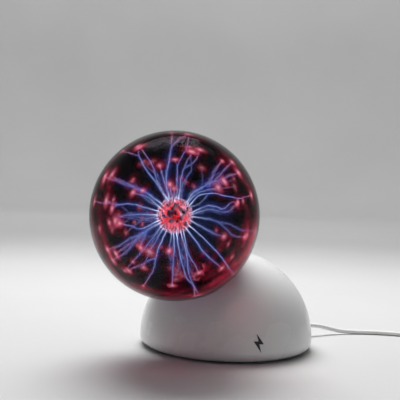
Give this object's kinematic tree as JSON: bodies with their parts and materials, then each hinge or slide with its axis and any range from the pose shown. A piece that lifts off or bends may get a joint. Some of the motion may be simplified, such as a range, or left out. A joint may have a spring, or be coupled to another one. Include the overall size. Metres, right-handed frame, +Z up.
{
  "type": "plasma ball",
  "caption": "Glass plasma globe with a central electrode, leaning forward in a white domed base with a slide switch and a USB lead.",
  "frame": {"origin": "on the table under the middle of the object's box, leaving out the lead", "axes": "+Z up from the table; the globe leans towards -Y; the switch and the lead are at the back, +Y"},
  "size_m": [0.2501, 0.3175, 0.1614],
  "materials": {
    "clear_glass": "polished clear glass",
    "electrode_glass": "clear glass that glows pink",
    "steel_wool": "packed fine strands, lit from outside by the plasma",
    "white_plastic": "smooth satin-gloss moulding",
    "inner_plastic": "plain moulding",
    "dark_plastic": "fine textured moulding",
    "knob_plastic": "smooth matt",
    "black_rubber": "matt",
    "grey_rubber": "soft matt",
    "black_ink": "screen-printed ink, satin",
    "steel": "zinc plated",
    "plated_steel": "bright nickel plate",
    "aluminium": "extruded",
    "circuit_board": "solder mask",
    "ferrite": "sintered, matt",
    "copper_wire": "enamelled copper winding",
    "potting": "moulded epoxy",
    "capacitor_sleeve": "shrink sleeve",
    "red_plastic": "smooth",
    "yellow_plastic": "smooth",
    "resistor_body": "lacquered",
    "cable_plastic": "soft satin PVC"
  },
  "bodies": {
    "base": {"glass_globe": "clear_glass", "electrode_bulb": "electrode_glass", "electrode_wool": "steel_wool", "electrode_wire": "steel", "exhaust_tip": "clear_glass", "terminal_cap": "black_rubber", "seat_gasket": "grey_rubber", "neck_collar": "inner_plastic", "collar_screws": "steel", "dome_shell": "white_plastic", "bottom_plate": "dark_plastic", "base_screws": "steel", "rubber_feet": "black_rubber", "front_mark": "black_ink", "driver_board": "circuit_board", "board_screws": "steel", "transformer_core": "ferrite", "primary_winding": "copper_wire", "secondary_winding": "potting", "heat_sink": "aluminium", "power_transistor": "potting", "transistor_screw": "steel", "filter_capacitors": "capacitor_sleeve", "film_capacitors": "red_plastic", "resistors": "resistor_body", "control_chip": "potting", "hv_lead": "red_plastic", "supply_wires": "red_plastic", "switch_wires": "yellow_plastic", "switch_body": "dark_plastic", "switch_screws": "steel", "microphone": "aluminium", "strain_relief": "cable_plastic", "power_cable": "cable_plastic", "cable_coil": "cable_plastic", "cable_tie": "knob_plastic", "usb_plug_grip": "cable_plastic", "usb_plug_shell": "plated_steel", "usb_plug_tongue": "white_plastic"},
    "slider": {"switch_knob": "knob_plastic"}
  },
  "joints": [
    {"name": "switch_slide", "type": "slide", "parent": "base", "child": "slider", "axis": [0.9397, 0.342, 0], "range_m": [-0.002, 0.002]}
  ]
}
